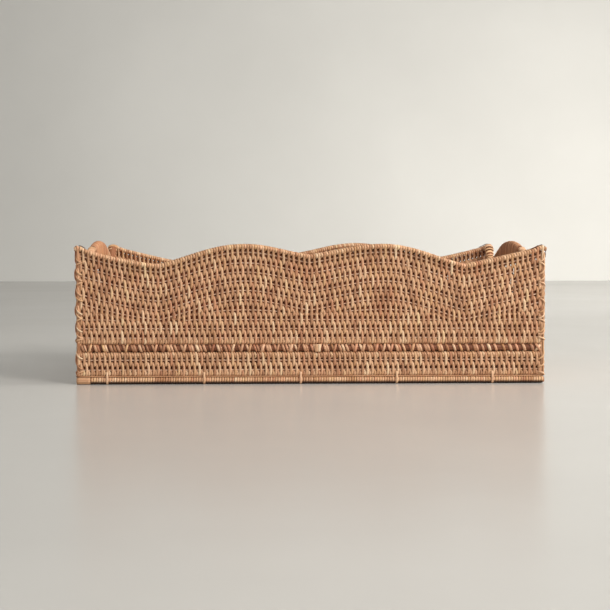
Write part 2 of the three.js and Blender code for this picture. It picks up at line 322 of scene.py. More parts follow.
class Nodes:
    """Short ways to add and join shader nodes in one material."""

    def __init__(self, name):
        self.material = bpy.data.materials.new(name)
        self.material.use_nodes = True
        self.tree = self.material.node_tree
        self.shader = self.tree.nodes["Principled BSDF"]

    def add(self, kind, **settings):
        node = self.tree.nodes.new(kind)
        for key, value in settings.items():
            setattr(node, key, value)
        return node

    def link(self, source, target):
        self.tree.links.new(source, target)

    def attribute(self, name, output):
        return self.add("ShaderNodeAttribute", attribute_name=name).outputs[output]

    def mapping(self, vector, scale):
        node = self.add("ShaderNodeMapping")
        node.inputs["Scale"].default_value = scale
        self.link(vector, node.inputs["Vector"])
        return node.outputs["Vector"]

    def noise(self, vector, scale, detail=3.0, roughness=0.55):
        node = self.add("ShaderNodeTexNoise")
        node.inputs["Scale"].default_value = scale
        node.inputs["Detail"].default_value = detail
        node.inputs["Roughness"].default_value = roughness
        self.link(vector, node.inputs["Vector"])
        return node.outputs["Fac"]

    def spread(self, value, low, high, to_low=0.0, to_high=1.0):
        node = self.add("ShaderNodeMapRange")
        for key, number in zip(("From Min", "From Max", "To Min", "To Max"), (low, high, to_low, to_high)):
            node.inputs[key].default_value = number
        self.link(value, node.inputs["Value"])
        return node.outputs["Result"]

    def ramp(self, value, stops):
        """Colours by value; stops are (place, screen colour)."""
        node = self.add("ShaderNodeValToRGB")
        elements = node.color_ramp.elements
        while len(elements) < len(stops):
            elements.new(0.5)
        for element, (place, colour) in zip(elements, stops):
            element.position = place
            element.color = srgb(*colour)
        self.link(value, node.inputs["Fac"])
        return node.outputs["Color"]

    def mix(self, blend, factor, first, second):
        node = self.add("ShaderNodeMix", data_type="RGBA", blend_type=blend)
        for value, socket in ((factor, node.inputs[0]), (first, node.inputs[6]), (second, node.inputs[7])):
            if isinstance(value, bpy.types.NodeSocket):
                self.link(value, socket)
            else:
                socket.default_value = value
        return node.outputs[2]

    def bump(self, height, strength, distance):
        node = self.add("ShaderNodeBump")
        node.inputs["Strength"].default_value = strength
        node.inputs["Distance"].default_value = distance
        self.link(height, node.inputs["Height"])
        self.link(node.outputs["Normal"], self.shader.inputs["Normal"])


PINK = (255, 214, 206)
STRAW = (255, 250, 212)
SOOT = srgb(134, 82, 46)
# painted contact shade for the bottom of the foot
FOOT_CONTACT_SHADE = srgb(66, 45, 30)
CORE_SIDE_SHADE = srgb(186, 108, 52)  # painted shade for the sides of strands turned to the wall's core, which darkens the weave's holes


def cane_material(name, stops, streak_depth, blush):
    """Split cane: each strand has its own tone, with fibres along it, blotches, specks and a worn sheen,
    plus painted shade on the sides turned to the wall's core and painted contact shade at the foot's bottom.
    """
    n = Nodes(name)
    fibre = n.attribute("fibre", "Vector")
    place = n.add("ShaderNodeTexCoord").outputs["Object"]
    colour = n.ramp(n.attribute("tone", "Fac"), stops)
    warmth = n.ramp(n.attribute("hue", "Fac"), [
        (0.0, PINK), (0.28, (255, 255, 255)), (0.72, (255, 255, 255)), (1.0, STRAW),
    ])
    colour = n.mix("MULTIPLY", blush, colour, warmth)
    streaks = n.noise(n.mapping(fibre, (2.2, 0.07, 1)), 1.0, 4.0, 0.65)
    fine = n.noise(n.mapping(fibre, (7.0, 0.22, 1)), 1.0, 2.0)
    blotches = n.noise(place, 38.0, 3.0)
    shade = n.spread(streaks, 0.3, 0.72, 0.0, streak_depth)
    colour = n.mix("MULTIPLY", shade, colour, SOOT)
    colour = n.mix("MULTIPLY", n.spread(blotches, 0.5, 0.78, 0.0, 0.4), colour, srgb(196, 140, 108))
    specks = n.noise(n.mapping(fibre, (1.3, 0.5, 1)), 1.6, 1.0)
    colour = n.mix("MULTIPLY", n.spread(specks, 0.7, 0.78, 0.0, 0.55), colour, SOOT)
    # painted shade: the sides of strands turned to the wall's core are darkened, so that the weave's holes
    # look shaded
    core = n.spread(n.attribute("inner", "Fac"), 0.15, 0.85, 0.0, 0.85)
    colour = n.mix("MULTIPLY", core, colour, CORE_SIDE_SHADE)
    # painted contact shade along the bottom of the foot
    colour = n.mix("MULTIPLY", n.attribute("soil", "Fac"), colour, FOOT_CONTACT_SHADE)
    n.link(colour, n.shader.inputs["Base Color"])
    n.link(n.spread(streaks, 0.25, 0.75, 0.62, 0.42), n.shader.inputs["Roughness"])
    n.shader.inputs["Specular IOR Level"].default_value = 0.35
    n.bump(fine, 0.35, 0.00025)
    return n.material


def rod_material(name, stops):
    """Whole rattan rods: darker bark with long streaks and faint rings."""
    n = Nodes(name)
    fibre = n.attribute("fibre", "Vector")
    streaks = n.noise(n.mapping(fibre, (1.6, 0.035, 1)), 1.0, 4.0, 0.6)
    rings = n.noise(n.mapping(fibre, (0.1, 0.6, 1)), 1.0, 2.0)
    colour = n.ramp(streaks, stops)
    colour = n.mix("MULTIPLY", n.spread(rings, 0.55, 0.8, 0.0, 0.5), colour, SOOT)
    n.link(colour, n.shader.inputs["Base Color"])
    n.link(n.spread(rings, 0.3, 0.7, 0.5, 0.72), n.shader.inputs["Roughness"])
    n.shader.inputs["Specular IOR Level"].default_value = 0.3
    n.bump(streaks, 0.4, 0.0003)
    return n.material


WEAVE = cane_material("cane_weave", [
    (0.0, (176, 130, 96)), (0.25, (200, 152, 114)), (0.6, (214, 168, 128)),
    (0.88, (224, 182, 142)), (1.0, (236, 202, 162)),
], 0.34, 0.34)
WRAPPING = cane_material("cane_wrap", [
    (0.0, (184, 137, 100)), (0.25, (204, 158, 118)), (0.6, (216, 172, 132)),
    (0.9, (226, 186, 146)), (1.0, (240, 210, 172)),
], 0.32, 0.38)
GRIP_CANE = cane_material("cane_grip", [
    (0.0, (160, 108, 72)), (0.3, (186, 130, 90)), (0.7, (206, 152, 110)),
    (1.0, (226, 176, 134)),
], 0.5, 0.45)
LASHING = cane_material("cane_lashing", [
    (0.0, (164, 114, 82)), (0.4, (200, 150, 114)), (0.8, (226, 180, 142)),
    (1.0, (242, 208, 170)),
], 0.35, 0.6)
ROD = rod_material("rattan_rod", [
    (0.3, (164, 114, 80)), (0.55, (196, 146, 108)), (0.75, (216, 168, 130)),
])
# under the rim these rods' dark colour is painted shade for the top row's holes; elsewhere they are cores
# under wound cane
DARK_ROD = rod_material("dark_rod", [
    (0.3, (126, 76, 47)), (0.55, (152, 99, 66)), (0.75, (176, 123, 88)),
])
PITH = rod_material("pith_rod", [
    (0.3, (196, 150, 118)), (0.55, (224, 184, 154)), (0.75, (242, 212, 186)),
])
# bark colour, darkened further as painted shade of the recess that the edge rod lies in
BARK_WITH_RECESS_SHADE = rod_material("edge_rod", [
    (0.3, (92, 50, 30)), (0.55, (122, 74, 50)), (0.75, (150, 100, 72)),
])
# dark colour for the thin strand over the corner's knot
CORNER_DARK_STRAND = rod_material("corner_dark_strand", [
    (0.3, (62, 36, 22)), (0.55, (84, 52, 32)), (0.75, (110, 72, 46)),
])


# -------------------- loops of cane

def places_along(half, pitch, offset=0.0):
    """Evenly spaced places along a wall, as many as fit either side of its middle."""
    first, last = math.ceil((-half - offset) / pitch), math.floor((half - offset) / pitch)
    return np.arange(first, last + 1) * pitch + offset


def shaken(count, size):
    return rng.normal(0, size, count)


def loop_paths(along, centre, hook, steps):
    """Paths of loops, and the directions that their flats face, from steps round a loop.

    A step is its distance behind the wall's middle, its height, how far it has crossed to the left as a
    share of hook, and the way it faces.
    """
    path = np.empty((len(along), len(steps), 3))
    outward = np.zeros_like(path)
    for i, (depth, height, shift, facing) in enumerate(steps):
        path[:, i, 0] = along - hook * shift
        path[:, i, 1] = centre + depth
        path[:, i, 2] = height
        outward[:, i, 1:] = facing
    return path, outward


def loops(along, low, high, centre, reach_low, reach_high, hook):
    """Closed loops of cane round a lower and an upper rod.

    Each crosses to the left over the upper rod and back under the lower one, so that its front and its
    back are out of line.
    """
    steps = []
    for part, shift in ((0.06, 0.05), (0.36, 0.0), (0.66, 0.03), (0.92, 0.15)):
        depth = -reach_low - (reach_high - reach_low) * part
        steps.append((depth, low + (high - low) * part, shift, (-1, 0)))
    for degrees, shift in ((-67.5, 0.29), (-22.5, 0.45), (22.5, 0.62), (67.5, 0.8)):
        sin, cos = math.sin(math.radians(degrees)), math.cos(math.radians(degrees))
        steps.append((reach_high * sin, high + reach_high * cos, shift, (sin, cos)))
    for part, shift in ((0.94, 0.95), (0.64, 1.0), (0.34, 1.0), (0.06, 0.96)):
        depth = reach_low + (reach_high - reach_low) * part
        steps.append((depth, low + (high - low) * part, shift, (1, 0)))
    for degrees, shift in ((67.5, 0.8), (22.5, 0.55), (-22.5, 0.3), (-67.5, 0.12)):
        sin, cos = math.sin(math.radians(degrees)), math.cos(math.radians(degrees))
        steps.append((reach_low * sin, low - reach_low * cos, shift, (sin, -cos)))
    return loop_paths(along, centre, hook, steps)


def add_loops(bundle, along, low, high, centre, reach_low=REACH, reach_high=REACH, hook=HOOK):
    """A row of loops, each a little out of true, as hand work is."""
    count = len(along)
    if not count:
        return
    along = along + shaken(count, 0.14)
    low = low + shaken(count, 0.12)
    high = high + shaken(count, 0.2)
    reach_low = reach_low + np.abs(shaken(count, 0.1))
    reach_high = reach_high + np.abs(shaken(count, 0.12))
    path, outward = loops(along, low, high, centre, reach_low, reach_high, hook * (1 + shaken(count, 0.08)))
    full = STRAND_WIDTH * (1 + shaken(count, 0.06))[:, None]
    front, turned, hidden = [1, 1.03, 1.03, 1], [0.94, 0.86, 0.86, 0.94], [1.18, 1.36, 1.36, 1.18]
    bundle.add(path, outward, full * np.array(front + turned + hidden + turned), STRAND_THICKNESS, True)


def add_rings(bundle, centres, up, half_width, half_height, width, tone=None,
              steps=14, power=1.0, lowest=None, skew=0.3, hook=0.0):
    """Closed turns of cane round a pole. up is the section's upward direction at each turn.

    skew leans the turns along the pole, and hook is how far a turn's back lies to the left of its front.
    """
    count = len(centres)
    up = np.broadcast_to(up, centres.shape)[:, None]
    angles = 2 * np.pi * np.arange(steps) / steps
    half_width = np.broadcast_to(half_width, count)[:, None, None]
    half_height = np.broadcast_to(half_height, count)[:, None, None]
    cos, sin = bowed(np.cos(angles), power)[None, :, None], bowed(np.sin(angles), power)[None, :, None]
    path = centres[:, None] + ACROSS * half_width * cos + up * half_height * sin
    outward = unit(ACROSS * cos / half_width + up * sin / half_height)
    along = unit(np.cross(ACROSS, up))
    tilt = (skew * (1 + shaken(count, 0.3)))[:, None, None]
    path = path + along * tilt * np.sin(angles)[None, :, None]
    path[..., 0] -= hook * (0.5 + 0.5 * np.cos(angles))
    if lowest is not None:
        path[..., 2] = np.maximum(path[..., 2], lowest)
    full = width * (1 + shaken(count, 0.05))[:, None]
    bundle.add(path, outward, full, STRAND_THICKNESS, True, 0, tone)


def add_spans(bundle, along, height, present, centre, radius, slot=1):
    """Rods along a wall, one for each unbroken stretch where the rod is present."""
    height = np.broadcast_to(height, along.shape)
    edges = np.flatnonzero(np.diff(np.concatenate([[False], present, [False]]).astype(int)))
    for first, end in zip(edges[::2], edges[1::2]):
        if end - first < 3:
            continue
        x = along[first:end]
        z = height[first:end] + wave(x, 60, 0.12)
        y = centre + wave(x, 60, 0.1)
        bundle.add_rod(xyz(x, y, z), radius, slot, sides=6)


# -------------------- walls, skirt and rims

def straight_rod(number):
    return WALL_FOOT if number == 0 else STRAIGHT_TOP + ROW * (number - 1)


def curved_rod(edge, along, number):
    """Height of one of the rods that follow the scallops, counted down from the rim."""
    return edge_height(edge, along) - CURVED_DROP - CURVED_ROW * number


def wall_rows(edge, along, number):
    """Heights of a row's lower and upper rod, and its shift in half stitches, counting rows from below."""
    lowest_curve = curved_rod(edge, along, CURVED_ROWS - 1)
    if number < STRAIGHT_ROWS:
        low = np.full_like(along, straight_rod(number))
        reach = ROW_OVERLAP if number == STRAIGHT_ROWS - 1 else 0
        return low, np.minimum(straight_rod(number + 1) + reach, lowest_curve), number % 2
    curve = CURVED_ROWS - 1 - (number - STRAIGHT_ROWS)
    return curved_rod(edge, along, curve), curved_rod(edge, along, curve - 1), (curve + 1) % 2


def opening_edge(along, margin):
    """Height at which an end wall stops, margin below the handle opening; elsewhere, no limit."""
    past = np.maximum(np.abs(along) - OPENING_HALF, 0)
    radius = OPENING_RADIUS + margin
    inside = past < radius
    drop = np.sqrt(np.maximum(radius ** 2 - past ** 2, 0))
    return np.where(inside, OPENING_CENTRE - drop, np.inf)


def wall_weave(side, edge, half, outer, has_handle):
    bundle = Bundle()
    centre = WALL_CENTRE - outer
    reach = half - (END_WALL_END if has_handle else LONG_WALL_END)
    fine = np.arange(-half + ROD_END, half - ROD_END + 0.1, ROD_STEPS[0])
    ceiling = opening_edge(fine, 1.0) if has_handle else np.full_like(fine, np.inf)
    add_spans(bundle, fine, WALL_FOOT, fine < np.inf, centre, JUNCTION_RADIUS)
    for number in range(STRAIGHT_ROWS + CURVED_ROWS - 1):
        low, high, shifted = wall_rows(edge, fine, number)
        open_row = (high - low > SHORTEST_ROW) & (high < ceiling)
        add_spans(bundle, fine, high, open_row, centre, JUNCTION_RADIUS)
        wide = (high - low > MID_LEAST_ROW * ROW) & ((low + high) / 2 + 1 < ceiling)
        middle = low + MID_SHARE * (high - low)
        add_spans(bundle, fine, middle, wide, centre - MID_FORWARD, MID_RADIUS, 3)
        along = places_along(reach, STITCH, shifted * STITCH / 2)
        low, high, _ = wall_rows(edge, along, number)
        if has_handle:
            high = np.minimum(high, opening_edge(along, 2.0))
        kept = high - low > SHORTEST_ROW
        add_loops(bundle, along[kept], low[kept], high[kept], centre)
    # the top row's two rods take the dark rod material: painted shade for that row's holes
    for rise in TOP_RODS:
        height = curved_rod(edge, fine, 0) + rise
        add_spans(bundle, fine, height, height < ceiling, centre + TOP_ROD_BACK, TOP_ROD_RADIUS, 2)
    middle = curved_rod(edge, fine, 0) + sum(TOP_RODS) / 2
    add_spans(bundle, fine, middle, middle < ceiling, centre - MID_FORWARD, MID_RADIUS, 3)
    # near the long walls' corners one more dark rod, painted shade as well, fills the row where the rim
    # rises
    if not has_handle:
        height = curved_rod(edge, fine, 0) + TOP_RODS[1] + 2 * TOP_ROD_RADIUS
        add_spans(bundle, fine, height, half - np.abs(fine) < KNOT_REACH, centre, TOP_ROD_RADIUS, 2)
    add_edge_turns(bundle, places_along(reach, STITCH, STITCH / 2), WALL_FOOT, centre)
    piece = bundle.build(f"wall_weave_{side}", [WEAVE, ROD, DARK_ROD, PITH], SIDES[side])
    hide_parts(f"wall_panel_{side}")


def add_edge_turns(bundle, along, height, centre, upwards=True):
    """Short loops on an edge rod, between the long ones that share it, drawn in at their free end."""
    free = REACH - 0.8
    if upwards:
        add_loops(bundle, along, height, height + EDGE_TURN, centre, REACH, free)
    else:
        add_loops(bundle, along, height - EDGE_TURN, height, centre, free, REACH)


def skirt_weave(side, half, outer):
    bundle = Bundle()
    centre = WALL_CENTRE - outer
    reach = half - (LONG_WALL_END if side in ("front", "back") else END_WALL_END)
    fine = np.arange(-half + ROD_END, half - ROD_END + 0.1, ROD_STEPS[1])
    everywhere = np.full(len(fine), True)
    add_spans(bundle, fine, LOWEST_ROD, everywhere, centre - GROOVE_ROD_FORWARD, GROOVE_ROD_RADIUS)
    for height in SKIRT_ROWS:
        add_spans(bundle, fine, height, everywhere, centre, JUNCTION_RADIUS)
    for number, (low, high) in enumerate(zip(SKIRT_ROWS, SKIRT_ROWS[1:])):
        middle = low + MID_SHARE * (high - low)
        add_spans(bundle, fine, middle, everywhere, centre - MID_FORWARD, MID_RADIUS, 2)
        along = places_along(reach, STITCH, (number % 2) * STITCH / 2)
        add_loops(bundle, along, low, high, centre)
    add_edge_turns(bundle, places_along(reach, STITCH, STITCH / 2), SKIRT_ROWS[0], centre)
    add_edge_turns(bundle, places_along(reach, STITCH), SKIRT_ROWS[-1], centre, upwards=False)
    piece = bundle.build(f"skirt_weave_{side}", [WEAVE, ROD, PITH], SIDES[side])
    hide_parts(f"skirt_panel_{side}")


def knot(along, half):
    """How far a long wall's rim rises near its two corners, and how it shrinks at the very end."""
    distance = half - np.abs(along)
    rise = KNOT_RISE * np.exp(-((distance - 6) / 5.5) ** 2)
    shrink = np.sqrt(1 - np.clip((3.0 - distance) / 3.5, 0, 1) ** 2)
    return rise, shrink


def knob(along, half):
    """How far an end wall's rim rises and swells where it meets the rear corner."""
    near = np.exp(-(np.maximum(half - np.abs(along) - 5, 0) / 9) ** 2)
    return KNOB_RISE * near, 1 + KNOB_SWELL * near


def rim_wrap(side, name, edge, start, end, outer, ending):
    """A pole along the scalloped edge, wound closely; every other turn runs down to the first rod."""
    bundle = Bundle()
    centre = WALL_CENTRE - outer
    half = max(-start, end)

    def rim_top(along):
        rise, shrink = ending(along, half) if ending else (0 * along, 1 + 0 * along)
        return edge_height(edge, along) + rise - (1 - shrink) * RIM_HEIGHT, shrink

    x = np.linspace(start, end, max(int((end - start) / 4), 8))
    top, shrink = rim_top(x)
    pole = xyz(x, centre, top - RIM_HEIGHT / 2)
    upward = np.broadcast_to(UP, pole[None].shape)
    bundle.add(pole[None], upward, shrink * (RIM_WIDTH - 2.2), shrink * (RIM_HEIGHT - 2.0), False, 1, None,
               round_section(12))
    for shift, long_turn in ((0.0, False), (STITCH / 2, True)):
        along = places_along(half + STITCH, STITCH, shift)
        along = along[(along > start + 0.9) & (along < end - 0.9)]
        top, shrink = rim_top(along)
        slope = rim_top(along + 0.5)[0] - rim_top(along - 0.5)[0]
        if long_turn:
            add_rim_loops(bundle, along, top, curved_rod(edge, along, 0), centre, shrink, slope)
            continue
        centres = xyz(along, centre, top - RIM_HEIGHT / 2)
        up = unit(xyz(-0.5 * slope, 0, 1))
        hook = HOOK * np.clip((along - start - 2) / 6, 0, 1)[:, None]  # the first turns stand straight
        add_rings(bundle, centres, up, shrink * (RIM_WIDTH - STRAND_THICKNESS) / 2,
                  shrink * (RIM_HEIGHT - STRAND_THICKNESS) / 2, CLOSE_TURN, skew=0.0, hook=hook)
    piece = bundle.build(f"rim_wrap_{name}", [WRAPPING, DARK_ROD], SIDES[side])
    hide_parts(f"rim_{name}")


def add_rim_loops(bundle, along, top, rod, centre, shrink, slope):
    """Loops that pass over the rim pole and under the highest rod of the wall."""
    count = len(along)
    along = along + shaken(count, 0.12)
    wide = shrink * (RIM_WIDTH - STRAND_THICKNESS) / 2
    tall = shrink * (RIM_HEIGHT - STRAND_THICKNESS) / 2
    middle = top - RIM_HEIGHT / 2
    steps = [(-REACH, rod + 0.2, 0, (-1, 0)), (-REACH - 0.15, (rod + middle) / 2 - 1.2, 0, (-1, 0))]
    for angle in np.radians([-130, -90, -50, -18, 18, 50, 90, 130]):
        sin, cos = math.sin(angle), math.cos(angle)
        steps.append((wide * sin, middle + tall * cos, 0.5 + 0.5 * sin, (sin, cos)))
    steps += [(REACH + 0.15, (rod + middle) / 2 - 1.2, 1, (1, 0)), (REACH, rod + 0.2, 1, (1, 0))]
    for angle in np.radians([50, 0, -50]):
        sin, cos = math.sin(angle), math.cos(angle)
        steps.append((REACH * sin, rod - REACH * cos, 0.5 + 0.5 * sin, (sin, -cos)))
    path, outward = loop_paths(along, centre, HOOK, steps)
    outward[..., 0] = -slope[:, None] * np.maximum(outward[..., 2], 0)  # lies flat on the sloping rim
    full = CLOSE_TURN * (1 + shaken(count, 0.05))[:, None]
    bundle.add(path, outward, full, STRAND_THICKNESS, True)


# -------------------- handles

def grip_underside(along):
    past = np.maximum(np.abs(along) - OPENING_HALF, 0)
    arc = OPENING_CENTRE + np.sqrt(np.maximum(OPENING_RADIUS ** 2 - past ** 2, 0))
    return np.maximum(arc, GRIP_FOOT)


def grip_wrap(side, outer):
    """The raised crest of an end wall: a padded lens wound with cane from end to end."""
    bundle = Bundle()
    centre = GRIP_THICKNESS / 2 - outer
    along = places_along(GRIP_HALF - 0.6, 2.5)
    top, bottom = edge_height(END_EDGE, along), grip_underside(along)
    centres = xyz(along, centre, (top + bottom) / 2)
    taper = 1 - 0.12 * (np.abs(along) / GRIP_HALF) ** 4
    add_rings(bundle, centres, UP, (GRIP_THICKNESS / 2 - 0.45) * taper, (top - bottom) / 2 - 0.45, 2.55,
              steps=26, power=SQUARENESS, skew=0.35)
    core = np.linspace(-GRIP_HALF + 0.5, GRIP_HALF - 0.5, 30)
    core_top, core_bottom = edge_height(END_EDGE, core), grip_underside(core)
    path = xyz(core, centre, (core_top + core_bottom) / 2)[None]
    upward = np.broadcast_to(UP, path.shape)
    shape = tuple(bowed(values, SQUARENESS) for values in round_section(20))
    height = (core_top - core_bottom - 2.2)[None]
    bundle.add(path, upward, GRIP_THICKNESS - 2.2, height, False, 1, None, shape)
    piece = bundle.build(f"grip_wrap_{side}", [GRIP_CANE, DARK_ROD], SIDES[side])
    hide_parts(f"handle_grip_{side}")


def binding_wrap(side, outer):
    """Cane wound round the rod that edges the handle opening below the grip."""
    bundle = Bundle()
    radius = OPENING_RADIUS - 0.3 - BINDING_DIAMETER / 2
    half = OPENING_HALF + radius * (math.pi / 2 + BINDING_RISE)
    middle = places_along(half, 2.6)
    past = np.maximum(np.abs(middle) - OPENING_HALF, 0)
    angle = past / radius
    sign = np.where(middle < 0, -1.0, 1.0)
    x = sign * (np.minimum(np.abs(middle), OPENING_HALF) + radius * np.sin(angle))
    z = OPENING_CENTRE - radius * np.cos(angle)
    centres = xyz(x, WALL_CENTRE - outer, z)
    up = xyz(-sign * np.sin(angle), 0, np.cos(angle))
    reach = BINDING_DIAMETER / 2 - 0.35
    add_rings(bundle, centres, up, reach + 0.7, reach, CLOSE_TURN, steps=12)
    bundle.add_rod(centres, BINDING_DIAMETER / 2 - 0.9)
    piece = bundle.build(f"binding_wrap_{side}", [WRAPPING, DARK_ROD], SIDES[side])
    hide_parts(f"handle_binding_{side}")


# -------------------- foot, floor and corners

def foot_wrap(side, half, outer):
    """A foot pole wound closely with cane; the front left end is finished with strips laid along it."""
    bundle = Bundle()
    centre = -outer + FOOT_DIAMETER / 2
    radius = FOOT_DIAMETER / 2
    bare = LAID_STRIPS if side == "front" else 0
    along = places_along(half, WRAP)
    along = along[(along > -half + bare + 1.2) & (along < half - 1.2)]
    count = len(along)
    centres = xyz(along, centre, radius)
    reach = radius - STRAND_THICKNESS / 2
    canes = rng.uniform(0.1, 0.75, 40)  # tones of the long canes, one after another
    tone = canes[(np.abs(along + half) / CANE_RUN).astype(int)] + rng.uniform(-0.25, 0.25, count)
    add_rings(bundle, centres, UP, reach, reach, CLOSE_TURN, np.clip(tone, 0, 1),
              lowest=STRAND_THICKNESS / 2, skew=0.25)
    # painted contact shade: the wraps darken towards the bottom of the foot, where it meets the table
    wraps = bundle.parts[-1]
    wraps["soil"] = np.clip((CONTACT_SHADE_TOP - wraps["points"][:, 2]) / CONTACT_SHADE_FADE, 0, 1)
    x = np.linspace(-half + 0.4, half - 0.4, 60)
    bundle.add_rod(xyz(x, centre, radius), radius - 1)
    if bare:
        lay_strips(bundle, -half + 0.3, -half + bare + 2, centre, radius)
    piece = bundle.build(f"foot_wrap_{side}", [WRAPPING, DARK_ROD], SIDES[side])
    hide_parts(f"foot_rail_{side}")


def lay_strips(bundle, start, end, centre, radius):
    """Flat strips laid lengthwise round a pole's end."""
    x = np.linspace(start, end, 6)
    for angle in np.radians(np.arange(-160, 200, 36)):
        reach = radius - STRAND_THICKNESS / 2
        y = centre - reach * math.cos(angle)
        z = max(radius + reach * math.sin(angle), STRAND_THICKNESS / 2)
        path = xyz(x, y, z)[None]
        outward = np.zeros_like(path)
        outward[..., 1:] = (-math.cos(angle), math.sin(angle))
        bundle.add(path, outward, 2.6, STRAND_THICKNESS, False, 0, np.array([0.3]))


def foot_ties(side, outer, count):
    """Single turns of cane that tie the foot pole to the skirt's lowest rod."""
    bundle = Bundle()
    along = TIE_OFFSET + TIE_SPACING * (np.arange(count) - (count - 1) / 2)
    radius = FOOT_DIAMETER / 2
    path, outward = loops(along, radius, SKIRT_ROWS[0], WALL_CENTRE - outer,
                          radius + 0.35, radius - 0.6, 0.2)
    path[..., 2] = np.maximum(path[..., 2], STRAND_THICKNESS / 2)
    path[..., 1] = np.maximum(path[..., 1], STRAND_THICKNESS / 2 - outer)
    bundle.add(path, outward, 2.3, 0.8, True, 0, rng.uniform(0.6, 1, count))
    piece = bundle.build(f"foot_ties_{side}", [WRAPPING], SIDES[side])
    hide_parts(*[f"foot_tie_{side}_{i + 1}" for i in range(count)])


def edge_rod(side, half, outer):
    """The bark-covered rod in the recess between the skirt and the wall; its bark colour is darkened further
    as painted shade of the recess.
    """
    bundle = Bundle()
    x = np.linspace(-half + EDGE_ROD_INSET, half - EDGE_ROD_INSET, 90)
    y = EDGE_ROD_INSET - outer + wave(x, 90, 0.12)
    path = xyz(x, y, EDGE_ROD_CENTRE + wave(x, 90, 0.12))
    bundle.add_rod(path, EDGE_ROD_DIAMETER / 2 * (1 + wave(x, 40, 0.015)), 0, sides=14)
    piece = bundle.build(f"floor_rod_{side}", [BARK_WITH_RECESS_SHADE], SIDES[side])
    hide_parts(f"floor_edge_rod_{side}")


def lashing(side, half, outer):
    """Slanting strands that tie the floor's edge rod to the skirt and the wall.

    A wide group of strands is followed by two narrow ones, over and over, with fewer strands towards the
    right.
    """
    bundle = Bundle()
    strands = []  # (place at the top, place at the bottom, how far it stands out)
    start = 5.5 - half
    for kind in itertools.cycle(["wide", "narrow", "narrow"]):
        size = WIDE_GROUP if kind == "wide" else NARROW_GROUP
        if start + size > half - 7:
            break
        x = start + shaken(1, 0.25)[0]
        start += size
        if x > 0.56 * half and rng.uniform() < 0.75:
            strands += [(x + step, x + step + 3.0, 0) for step in ((1, 8) if kind == "wide" else (1.6,))]
        elif kind == "wide":
            strands += [(x + step, x + step + 3.1, 0) for step in (0.7, 4.0 + shaken(1, 0.4)[0], 8.3)]
            if rng.uniform() < 0.7:
                strands.append((x + 11.6, x + 9.2, 0.5))
        elif rng.uniform() < 0.7:
            strands += [(x + 0.8, x + 4.2, 0), (x + 6.0, x + 3.7, 0.5)]
        else:
            strands += [(x + 0.8, x + 3.6, 0), (x + 3.5, x + 6.2, 0)]
    strands += [(half - 11, half - 5.5, 0.5), (half - 5.5, half - 11, 0)]
    upper, lower, proud = np.array(strands).T
    count = len(strands)
    angle = np.radians(np.arange(90, -270, -22.5))
    reach = EDGE_ROD_DIAMETER / 2 + 0.5 + proud[:, None]
    path = np.empty((count, len(angle), 3))
    path[:, :, 0] = (upper + lower)[:, None] / 2 - (lower - upper)[:, None] / 2 * np.sin(angle)
    path[:, :, 1] = EDGE_ROD_INSET - outer - reach * np.cos(angle)
    path[:, :, 2] = EDGE_ROD_CENTRE + reach * np.sin(angle)
    outward = np.zeros_like(path)
    outward[:, :, 1], outward[:, :, 2] = -np.cos(angle), np.sin(angle)
    bundle.add(path, outward, 2.7 * (1 + shaken(count, 0.1))[:, None], 0.9, True)
    piece = bundle.build(f"floor_lacing_{side}", [LASHING], SIDES[side])
    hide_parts(f"floor_lashing_{side}")


def splice():
    """Two flat ends of cane side by side, where the front lashing is joined."""
    bundle = Bundle()
    z = np.linspace(43.1, 34.9, 6)
    path = xyz(np.array([[5.0], [8.0]]), 0.6 - WIDTH / 2, z)
    outward = np.zeros_like(path)
    outward[..., 1] = -1
    widths = np.array([[3.6], [2.6]]) * np.array([[0.85, 1, 1, 1, 1, 0.85]])
    bundle.add(path, outward, widths, 1.0, False, 0, np.array([0.45, 1.0]), section(10))
    piece = bundle.build("splice_tab", [WRAPPING])
    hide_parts("lashing_splice")


def floor_weave(name, left, right):
    """Half of the floor: rods along the tray under rows of loops, like the walls lying flat."""
    bundle = Bundle()
    reach = WIDTH / 2 - EDGE_ROD_INSET - EDGE_ROD_DIAMETER / 2 - 2.6
    levels = np.linspace(-reach, reach, FLOOR_ROWS + 1)
    x = np.linspace(left, right, 26)
    for i, y in enumerate(levels):
        bundle.add_rod(xyz(x, y + wave(x, 60, 0.15), FLOOR_LEVEL), 1.5, sides=6)
        if i < FLOOR_ROWS:
            bundle.add_rod(xyz(x, (y + levels[i + 1]) / 2, FLOOR_LEVEL), 1.3, sides=6)
    for i, (near, far) in enumerate(zip(levels, levels[1:])):
        along = np.arange(left + 2.9 + (i % 2) * FLOOR_STITCH / 2, right - 1.4, FLOOR_STITCH)
        count = len(along)
        path, outward = loops(along + shaken(count, 0.15), near, far, 0, 1.9, 1.9, HOOK)
        path, outward = path[:, ::2], outward[:, ::2]
        path = xyz(path[..., 0], path[..., 2], FLOOR_LEVEL - path[..., 1])
        outward = xyz(outward[..., 0], outward[..., 2], -outward[..., 1])
        bundle.add(path, outward, 2.7 * (1 + shaken(count, 0.06))[:, None], 1.0, True)
    piece = bundle.build(f"floor_weave_{name}", [WEAVE, ROD])
    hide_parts("floor_mat")


def cross_bar(name):
    """A whole rattan pole under the floor, with the joints that a rattan stem has."""
    (x0, y0, z0), (x1, y1, z1) = [[c / MM for c in corner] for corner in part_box(f"floor_cross_bar_{name}")]
    bundle = Bundle()
    y = np.linspace(y0, y1, 80)
    joint = np.exp(-(((y - y0) % 118 - 60) / 3.0) ** 2)
    radius = (x1 - x0) / 2 - 0.5 + 0.45 * joint + wave(y, 40, 0.05)
    path = xyz((x0 + x1) / 2 + wave(y, 90, 0.2), y, (z0 + z1) / 2)
    bundle.add_rod(path, radius, 0, sides=16)
    piece = bundle.build(f"cross_bar_{name}", [ROD])
    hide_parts(f"floor_cross_bar_{name}")


